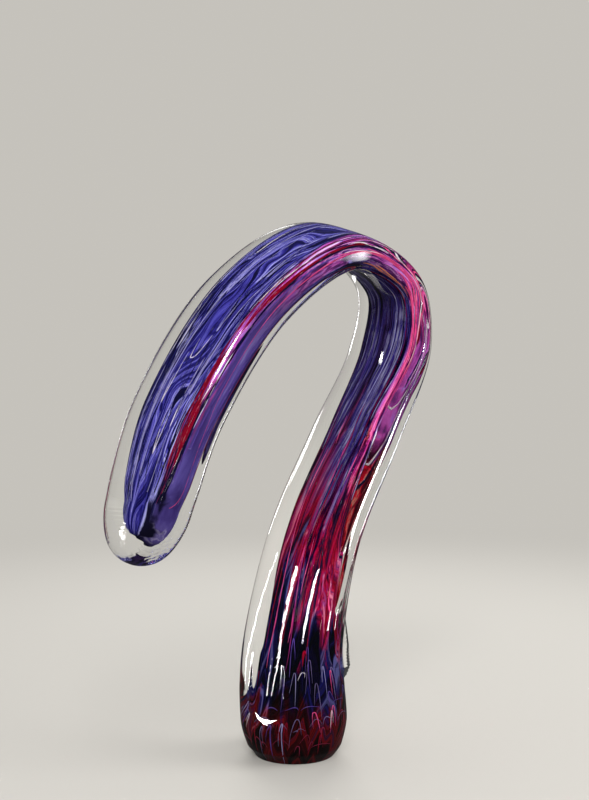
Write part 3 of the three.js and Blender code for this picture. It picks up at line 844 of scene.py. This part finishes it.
# Short hooks of thread at the foot and neck: bearing, place of the feet, half angle, rise and half width.
HOOKS = {
    "pink": [
        (205, 0.165, 4.5, 0.011, 0.00034), (183, 0.155, 4, 0.015, 0.00036),
        (176, 0.245, 2.5, 0.01, 0.00024),
    ],
    "rose": [
        (196, 0.135, 3, 0.007, 0.0003), (268, 0.105, 4, 0.004, 0.00025),
        (228, 0.095, 3, 0.005, 0.00025), (212, 0.11, 2.5, 0.004, 0.0002),
        (163, 0.15, 3.5, 0.01, 0.0003),
    ],
    "white": [
        (185, 0.165, 2.2, 0.009, 0.0003), (226, 0.265, 5, 0.003, 0.00018),
        (300, 0.165, 2, 0.007, 0.00025),
    ],
    "lavender": [
        (191, 0.255, 3, 0.01, 0.00024), (238, 0.24, 5, 0.012, 0.00018),
        (247, 0.115, 2.2, 0.018, 0.0004),
    ],
    "mauve": [
        (203, 0.215, 4.5, 0.014, 0.0003), (214, 0.255, 5.5, 0.014, 0.00022),
        (230, 0.15, 7, 0.012, 0.00028), (272, 0.11, 2.4, 0.016, 0.00035),
        (171, 0.24, 3, 0.014, 0.0003),
    ],
    "violet": [
        (216, 0.27, 4, 0.016, 0.00035), (262, 0.12, 3, 0.015, 0.00045),
        (255, 0.235, 4, 0.01, 0.0003), (310, 0.17, 3, 0.012, 0.00045),
        (180, 0.205, 4, 0.01, 0.00035), (242, 0.29, 3.5, 0.012, 0.0003),
    ],
    "crimson": [
        (241, 0.13, 2.5, 0.015, 0.00045), (221, 0.288, 3, 0.006, 0.0007),
        (198, 0.1, 3, 0.01, 0.0005), (250, 0.15, 3, 0.01, 0.0004),
        (285, 0.13, 3, 0.012, 0.00045),
    ],
}
SPARE_HOOKS = 3  # more of each colour, on the sides that the list leaves bare
SPARE_HOOK = (-50, 150), (0.10, 0.29), (2, 6), (0.004, 0.015), (0.0002, 0.0005)  # limits of its values
HOOK_SLIM = 0.75  # every hook is drawn this much finer than its half width says
ROUND, POINTED = (1.7, 3.2), (0.8, 1.5)  # powers of a loop's outline
HOOK_LEAN = (-0.9, 0.9)  # half angles, at its top
HOOK_LEG = (0.2, 1.1)  # rises by which one leg runs on past the other
HOOK_HEAVY = (0.2, 0.8)  # share by which one side is thicker


def drawn_rows(count, limits, chance):
    """Rows of values drawn at random, each between its own two limits."""
    return [tuple(chance.uniform(low, high) for low, high in limits) for _ in range(count)]


def hook_path(bearing, place, half_angle, rise, half_width, chance, outline=ROUND):
    """A loop that leans, with one long leg and one short one, and is thicker on one side of its top."""
    sweep = np.linspace(-1, 1, 41)
    bow = 1 - np.abs(sweep) ** chance.uniform(*outline)
    lean, long_side = chance.uniform(*HOOK_LEAN), chance.choice([-1, 1])
    bearings = bearing + half_angle * (np.sign(sweep) * np.abs(sweep) ** 0.75 + lean * bow)
    leg = chance.uniform(*HOOK_LEG) * np.clip(long_side * sweep, 0, 1) ** 2
    lengths = arc_length(place) + rise * (bow - leg)
    heavy = 1 + chance.uniform(*HOOK_HEAVY) * long_side * sweep
    return strand(place_at_length(lengths), bearings, half_width * bow * heavy + FINEST, THREAD_DEPTH)


def foot_hooks(colour, listed, chance):
    hooks = listed + drawn_rows(SPARE_HOOKS, SPARE_HOOK, chance)
    bodies = [hook_path(*values[:4], HOOK_SLIM * values[4], chance) for values in hooks]
    threads("foot_" + colour + "_hooks", bodies, colour)


for colour, listed in HOOKS.items():
    foot_hooks(colour, listed, chance)

# Wisps on the arm's outer face: bearing, place of the point, half angle, length and half width.
WISPS = {
    "lavender": [
        (104, 0.765, 3, 0.034, 0.00045), (50, 0.814, 2.6, 0.03, 0.00045),
        (97, 0.803, 2.4, 0.034, 0.0004), (68, 0.872, 2.4, 0.044, 0.0005),
        (84, 0.92, 2.6, 0.024, 0.00035), (62, 0.846, 2, 0.05, 0.0004),
        (112, 0.84, 2.2, 0.04, 0.0004), (78, 0.78, 2.6, 0.04, 0.0004),
    ],
    "white": [
        (91, 0.819, 3.4, 0.016, 0.00032), (80, 0.846, 2.8, 0.022, 0.00038),
        (93, 0.895, 2, 0.026, 0.0004), (51, 0.812, 1.6, 0.016, 0.00026),
        (104, 0.868, 1.6, 0.03, 0.00028),
    ],
}
SPARE_WISPS = 3
SPARE_WISP = (15, 130), (0.70, 0.94), (1.5, 3.0), (0.02, 0.05), (0.0002, 0.0004)  # limits of its values


def wisps(colour, listed, chance):
    bodies = []
    listed = listed + drawn_rows(SPARE_WISPS, SPARE_WISP, chance)
    for bearing, place, half_angle, length, half_width in listed:
        start = place_at_length(arc_length(place) - length)
        bodies.append(hook_path(bearing, start, half_angle, length, half_width, chance, POINTED))
    threads("arm_" + colour + "_wisps", bodies, colour)


for colour, listed in WISPS.items():
    wisps(colour, listed, chance)

# Broad streaks down the ridge of the low arm: bearing, places of the ends, and half width.
STREAKS = {
    "crimson": [(148, 0.835, 0.905, 0.0013), (141, 0.8, 0.86, 0.0006)],
    "navy": [(154, 0.865, 0.995, 0.001), (160, 0.8, 0.9, 0.0005)],
}


def streak(bearing, start, end, half_width):
    share = np.linspace(0, 1, 60)
    places, bearings = start + (end - start) * share, bearing + 1.5 * np.sin(9 * share)
    return strand(places, bearings, half_width * np.sin(math.pi * share) + FINEST, THREAD_DEPTH)


for colour, listed in STREAKS.items():
    threads("ridge_" + colour + "_streaks", [streak(*values) for values in listed], colour)

# Hair threads, drawn out along the hook: how many, the limits of their places, bearings and lengths, and half
# a thread's width. A name ends in the colour.
HAIRS = {
    "arm_navy": (44, (0.7, 0.97), (15, 135), (0.06, 0.16), 0.00028),
    "arm_lavender": (14, (0.7, 0.97), (20, 140), (0.03, 0.1), 0.00022),
    "arm_indigo": (16, (0.72, 0.97), (20, 135), (0.05, 0.12), 0.00035),
    "ridge_crimson": (14, (0.7, 0.95), (128, 160), (0.04, 0.1), 0.00045),
    "ridge_navy": (10, (0.7, 0.96), (128, 165), (0.05, 0.12), 0.00035),
    "ridge_white": (7, (0.66, 0.92), (128, 165), (0.02, 0.06), 0.00025),
    "strip_violet": (12, (0.72, 0.98), (165, 215), (0.04, 0.1), 0.00035),
    "bend_pink": (24, (0.52, 0.7), (125, 195), (0.05, 0.14), 0.0004),
    "bend_white": (6, (0.56, 0.7), (140, 185), (0.04, 0.1), 0.00018),
    "bend_navy": (24, (0.54, 0.76), (120, 230), (0.05, 0.14), 0.00028),
    "bend_orange": (2, (0.6, 0.7), (198, 214), (0.06, 0.09), 0.00016),
    "rim_crimson": (12, (0.48, 0.66), (50, 125), (0.05, 0.12), 0.0004),
    "rim_white": (9, (0.46, 0.66), (60, 120), (0.04, 0.1), 0.0002),
    "rim_navy": (16, (0.44, 0.64), (45, 130), (0.05, 0.12), 0.0004),
    "rim_indigo": (12, (0.44, 0.6), (45, 130), (0.05, 0.12), 0.00045),
    "stem_navy": (34, (0.3, 0.62), (0, 360), (0.06, 0.16), 0.00038),
    "stem_indigo": (22, (0.44, 0.66), (130, 360), (0.05, 0.12), 0.00035),
    "stem_lavender": (8, (0.44, 0.64), (150, 330), (0.03, 0.09), 0.00022),
    "stem_crimson": (24, (0.33, 0.46), (0, 360), (0.03, 0.08), 0.00045),
    "stem_pink": (8, (0.32, 0.46), (150, 300), (0.02, 0.06), 0.00024),
}
LOWEST_HAIR = 0.25
HAIR_DRIFT = (-10, 4)  # degrees, from one end to the other
HAIR_SWAY = 1.2  # degrees
STOPPED = 1e-6  # a last step shorter than this shows that the arm ended before the hair did


def hairs(name, count, places, bearings, lengths, half_width, chance):
    """Fine threads strewn over a stretch. One that would run past the arm's end is moved back."""
    bodies = []
    for _ in range(count):
        length = chance.uniform(*lengths)
        start = arc_length(chance.uniform(*places)) - length / 2
        share = np.linspace(0, 1, 40)
        drift, wave = chance.uniform(*HAIR_DRIFT), chance.uniform(0, 2 * math.pi)
        path = chance.uniform(*bearings) + drift * share + HAIR_SWAY * np.sin(5 * share + wave)
        taper = np.sin(math.pi * share) ** 0.5 * (0.6 + 0.4 * np.sin(9 * share + wave) ** 2)
        walked = np.clip(start + length * share, arc_length(LOWEST_HAIR), ARC[-1])
        if walked[-1] - walked[-2] < STOPPED:
            walked -= (start + length) - ARC[-1]
        bodies.append(strand(place_at_length(walked), path, half_width * taper + FINEST, THREAD_DEPTH))
    threads(name + "_hairs", bodies, name.split("_")[1])


for name, (count, places, bearings, lengths, half_width) in HAIRS.items():
    hairs(name, count, places, bearings, lengths, half_width, chance)

# The clear lug: a blister of glass that lies on the casing's outer near side, behind the foot as it is seen.
LUG_BEARING = 125.0
LUG_ENDS = (0.052, 0.110)
LUG_HALF_WIDTH = 0.0075
LUG_DEPTH = 0.0062
LUG_GAP = 0.0003
LUG_ROUNDS = (0.20, 0.5), (0.45, 0.6)  # shares in which its ends round off, and the powers of that
LUG_CUT = 0.004  # share left off at each end
LUG_RIPPLE = 0.0006
LUG_WAVES = 20
LUG_RIPPLE_ENDS = (0.42, 0.60)
LUG_SIDES = 48
LUG_RADIUS = 0.030  # how far it lies from the casing's middle, for turning widths into bearings
RISING_STEPS = 800  # the first of ARC_STEPS, through which the height only rises


def lug():
    share = np.linspace(LUG_CUT, 1 - LUG_CUT, 90)
    heights = LUG_ENDS[0] + (LUG_ENDS[1] - LUG_ENDS[0]) * share
    places = np.interp(heights, spine(ARC_STEPS)[:RISING_STEPS, 2], ARC_STEPS[:RISING_STEPS])
    (low, low_power), (high, high_power) = LUG_ROUNDS
    swell = np.minimum((share / low) ** low_power, 1) * np.minimum(((1 - share) / high) ** high_power, 1)
    ripple = LUG_RIPPLE * np.sin(2 * math.pi * LUG_WAVES * share) * swell
    ripple *= 1 - smooth(share, *LUG_RIPPLE_ENDS)
    angle = np.linspace(0, 2 * math.pi, LUG_SIDES, endpoint=False)
    turn = np.degrees(np.outer(LUG_HALF_WIDTH * swell, np.cos(angle)) / LUG_RADIUS)
    bulge = np.maximum(np.sin(angle), 0) ** 0.8
    lift = LUG_GAP + np.outer(LUG_DEPTH * swell + ripple, bulge)
    points, flow = surface(places[:, None], LUG_BEARING + turn, lift=lift)
    piece = joined("clear_lug_glass", [(points, {"flow": flow})], casing_look)
    keep(piece, ["clear_lug"])


lug()

# Stage
PALE = (0.56, 0.54, 0.50)
FIRST_GLOSS = (0.06, 0.06, 0.06)  # what the glass reflects where no window is
FILL = (0.50, 0.50, 0.50)
FLOOR_RADIUS, FLOOR_RINGS, FLOOR_SIDES = 3.0, 24, 64
FLOOR_FADE = (0.5, 1.6)  # distances between which the floor turns into the backdrop's even colour
CAMERA_AZIMUTH = math.radians(-50)
CAMERA_DISTANCE = 0.850
CAMERA_HEIGHT = 0.259
LENS, SENSOR = 52, 36  # millimetres


def first_reflection(graph, path):
    """1 for a ray that the glass has reflected before it let any through."""
    outside = graph.math("LESS_THAN", path["Transmission Depth"], 0.5)
    return graph.times(path["Is Glossy Ray"], outside)


def floor_material():
    graph = Graph(bpy.data.materials.new("pale floor"))
    x, y, _ = graph.split(graph.nodes.new("ShaderNodeNewGeometry").outputs["Position"])
    distance = graph.math("SQRT", graph.times(x, x, graph.times(y, y)))
    lit = graph.principled(base_color=PALE, roughness=0.9, specular_ior_level=0.1)
    ground = graph.mix_shader(graph.fade(distance, *FLOOR_FADE), lit, graph.emission(PALE))
    first = first_reflection(graph, graph.light_path())
    return graph.finish(graph.mix_shader(first, ground, graph.emission(FIRST_GLOSS)))


def stage_floor():
    spread = np.linspace(0, 1, FLOOR_RINGS + 1)[1:] ** 2 * FLOOR_RADIUS
    angle = np.arange(FLOOR_SIDES) * 2 * math.pi / FLOOR_SIDES
    x, y = np.outer(spread, np.cos(angle)), np.outer(spread, np.sin(angle))
    points = np.stack([x, y, np.zeros_like(x)], axis=-1).reshape(-1, 3)
    faces = tube_faces(FLOOR_RINGS, FLOOR_SIDES) + [tuple(range(FLOOR_SIDES))]
    floor = new_object("stage_floor", points, faces, floor_material())


def world():
    """Pale where it is seen straight or through glass, and dimmer in the glass's first reflection."""
    studio = bpy.data.worlds.new("studio")
    bpy.context.scene.world = studio
    graph = Graph(studio, "ShaderNodeOutputWorld")
    path = graph.light_path()
    entered = graph.math("GREATER_THAN", path["Transmission Depth"], 0.5)
    seen = graph.math("MAXIMUM", path["Is Camera Ray"], path["Is Transmission Ray"])
    seen = graph.math("MAXIMUM", seen, graph.times(path["Is Glossy Ray"], entered))
    background = graph.nodes.new("ShaderNodeBackground")
    shown = graph.mix(first_reflection(graph, path), graph.mix(seen, FILL, PALE), FIRST_GLOSS)
    graph.feed(background.inputs["Color"], shown)
    graph.finish(background)


def lamp(name, target, right, height, distance, size, radiance, beam=None):
    """A lamp seen from its target so many degrees right of the camera and so high.

    A window shows in the glass and lights nothing else. One with a beam, half an angle in degrees, is seen
    only from near its target. A lamp named soft lights what is there and doesn't show.
    """
    azimuth, rise = CAMERA_AZIMUTH + math.radians(right), math.radians(height)
    away = Vector((math.sin(azimuth) * math.cos(rise), -math.cos(azimuth) * math.cos(rise), math.sin(rise)))
    data = bpy.data.lights.new(name, "AREA")
    data.shape = "RECTANGLE"
    data.size, data.size_y = size
    data.energy = radiance * math.pi * size[0] * size[1]
    if beam:
        half = math.radians(beam)
        data.spread = 2 * half
        data.energy *= 1 - half / math.tan(half)
    thing = linked(name, data)
    thing.location = Vector(target) + away * distance
    thing.rotation_euler = away.to_track_quat("Z", "Y").to_euler()
    thing.visible_glossy = thing.visible_transmission = not name.startswith("soft")
    thing.visible_diffuse = name.startswith("soft")
    thing.visible_camera = False


def bank(name, first, last, count, distance, widths, tall, radiance, beam):
    """A row of windows.

    The first and last are given as the target's x, y and z, degrees right, and height. Then come how many
    there are, how far from their targets, how wide the first and last are, and all windows' height, radiance
    and beam.
    """
    for index, share in enumerate(np.linspace(0, 1, count)):
        x, y, z, right, height = np.array(first) * (1 - share) + np.array(last) * share
        width = widths[0] * (1 - share) + widths[1] * share
        lamp(name + "_" + str(index + 1), (x, y, z), right, height, distance, (width, tall), radiance, beam)


def camera():
    data = bpy.data.cameras.new("camera")
    data.lens, data.sensor_width = LENS, SENSOR
    thing = linked("camera", data)
    x, y = CAMERA_DISTANCE * math.sin(CAMERA_AZIMUTH), -CAMERA_DISTANCE * math.cos(CAMERA_AZIMUTH)
    thing.location = (x, y, CAMERA_HEIGHT)
    thing.rotation_euler = (math.pi / 2, 0, CAMERA_AZIMUTH)
    bpy.context.scene.camera = thing


def windows():
    """The highlights: on the arm, the flutes and the U, along the rims, round the bend and at the tip."""
    bank("window_sky", (-0.099, -0.032, 0.298, 17, 64), (-0.117, -0.033, 0.275, 17, 56),
         3, 0.6, (0.15, 0.15), 0.08, 55, 6)
    bank("window_flute_1", (-0.011, 0.018, 0.134, -102, 25), (-0.036, 0.012, 0.058, -120, -5),
         7, 0.35, (0.008, 0.016), 0.04, 50, 6)
    bank("window_flute_2", (-0.014, -0.011, 0.131, -67, 31), (-0.035, -0.011, 0.061, -46, 0),
         8, 0.35, (0.080, 0.007), 0.04, 70, 5)
    bank("window_flute_3", (-0.009, -0.028, 0.131, -14, 29), (-0.023, -0.027, 0.093, -7, 14),
         4, 0.35, (0.090, 0.036), 0.04, 110, 6)
    bank("window_flute_4", (0.006, -0.036, 0.144, 43, 16), (-0.011, -0.035, 0.103, 32, 7),
         3, 0.35, (0.020, 0.014), 0.03, 4, 6)
    bank("window_loop", (-0.037, -0.006, 0.038, -64, -3), (-0.038, -0.005, 0.036, -65, 14),
         5, 0.2, (0.014, 0.022), 0.03, 70, 8)
    bank("window_side", (0.073, -0.039, 0.240, 75, 16), (0.020, -0.038, 0.164, 76, 4),
         5, 0.6, (0.13, 0.10), 0.09, 60, 7)
    lamp("window_splash", (-0.004, -0.038, 0.103), 84, -7, 0.3, (0.025, 0.02), 50, 3)
    lamp("window_crest", (0.030, -0.035, 0.363), 112, -12, 0.5, (0.11, 0.09), 14, 5)
    bank("window_bend_back", (0.110, 0.026, 0.352, -158, -8), (0.114, 0.032, 0.309, -150, 13),
         5, 0.7, (0.08, 0.10), 0.10, 5, 7)
    bank("window_back", (0.105, 0.032, 0.300, -149, 14), (0.030, 0.025, 0.200, -142, 22),
         10, 0.7, (0.070, 0.030), 0.09, 4, 7)
    lamp("window_inner", (0.100, 0.020, 0.357), -167, -14, 0.35, (0.05, 0.045), 9, 4)
    lamp("window_spark", (0.097, -0.009, 0.290), -98, 50, 0.06, (0.006, 0.006), 60, 5)
    bank("window_rim", (0.085, -0.039, 0.237, 147, -7), (0.038, -0.037, 0.170, 128, -13),
         6, 0.3, (0.10, 0.12), 0.06, 9, 5)
    bank("window_top", (0.007, 0.020, 0.388, -174, 20), (-0.020, 0.020, 0.380, -176, 26),
         2, 0.9, (0.12, 0.12), 0.06, 3, 5)
    bank("window_tip", (-0.169, 0, 0.180, -90, 14), (-0.171, -0.006, 0.172, -83, 4),
         4, 0.4, (0.004, 0.004), 0.03, 80, 8)


def soft_lamps():
    """The lamps that light the sculpture and the floor."""
    middle, size = (0, 0, 0.22), (0.8, 0.8)
    lamp("soft_key", middle, 0, 40, 1.7, size, radiance=9.0)
    lamp("soft_back", middle, 180, 38, 1.6, size, radiance=6.0)
    lamp("soft_side", middle, 88, 32, 1.6, size, radiance=5.0)


stage_floor()
world()
camera()
windows()
soft_lamps()

scene = bpy.context.scene
scene.view_settings.view_transform = "Standard"
scene.cycles.use_denoising = True
scene.cycles.max_bounces = 24
scene.cycles.transmission_bounces = 16
scene.cycles.transparent_max_bounces = 16
